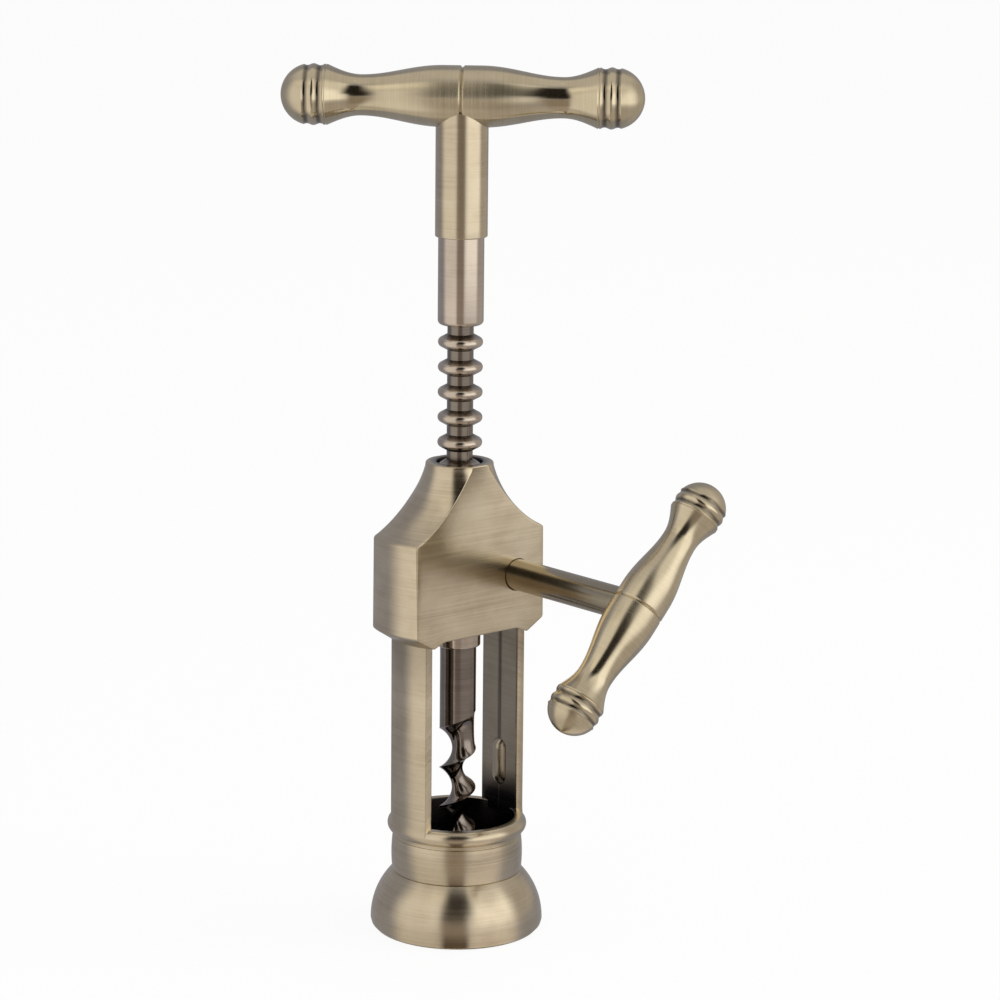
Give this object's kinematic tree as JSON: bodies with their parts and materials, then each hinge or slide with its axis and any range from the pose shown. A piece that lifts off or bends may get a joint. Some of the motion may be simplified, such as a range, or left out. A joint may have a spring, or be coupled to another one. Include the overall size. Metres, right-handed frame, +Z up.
{
  "type": "rack and pinion corkscrew",
  "caption": "Metal corkscrew: a cross handle turns the worm, and a side crank lifts the ringed rack sleeve through a turned head on an open two-legged cage.",
  "frame": {"origin": "middle of the foot, on the worm's axis, in the mouth of the bottle socket", "axes": "+Z up along the worm and rack, -Y towards the side crank, the two legs at -X and +X"},
  "size_m": [0.0645, 0.0825, 0.1945],
  "materials": {
    "brushed_bronze": "antique bronze plating, brushed",
    "satin_bronze": "antique bronze plating, satin polished",
    "pinion_brass": "plain cut brass",
    "dark_steel": "dark steel",
    "black_nickel": "polished black nickel plating",
    "black_plastic": "black moulded plastic"
  },
  "bodies": {
    "frame": {"head_housing": "brushed_bronze", "cage_frame": "brushed_bronze", "cage_pins": "dark_steel", "bell_base": "brushed_bronze", "bottle_guide": "black_plastic"},
    "rack": {"rack_sleeve": "satin_bronze"},
    "screw": {"handle_stem": "brushed_bronze", "handle_left_half": "satin_bronze", "handle_right_half": "satin_bronze", "handle_stud": "dark_steel", "worm_spindle": "black_nickel"},
    "crank": {"side_shaft": "satin_bronze", "drive_pinion": "pinion_brass", "pinion_pin": "dark_steel", "side_handle_upper_half": "satin_bronze", "side_handle_lower_half": "satin_bronze", "side_handle_stud": "dark_steel", "shaft_washer": "dark_steel", "retaining_clip": "dark_steel"}
  },
  "joints": [
    {"name": "rack_slide", "type": "slide", "parent": "frame", "child": "rack", "axis": [0, 0, 1], "range_m": [-0.0495, 0.005]},
    {"name": "screw_turn", "type": "hinge", "parent": "rack", "child": "screw", "pos_m": [0, 0, 0.155], "axis": [0, 0, 1], "continuous": true},
    {"name": "crank_turn", "type": "hinge", "parent": "frame", "child": "crank", "pos_m": [0.01065, 0, 0.0813], "axis": [0, 1, 0], "range_deg": [-458, 48]}
  ],
  "couplings": [
    {"joint": "crank_turn", "follows": "rack_slide", "rad_per_m": 160.29}
  ]
}
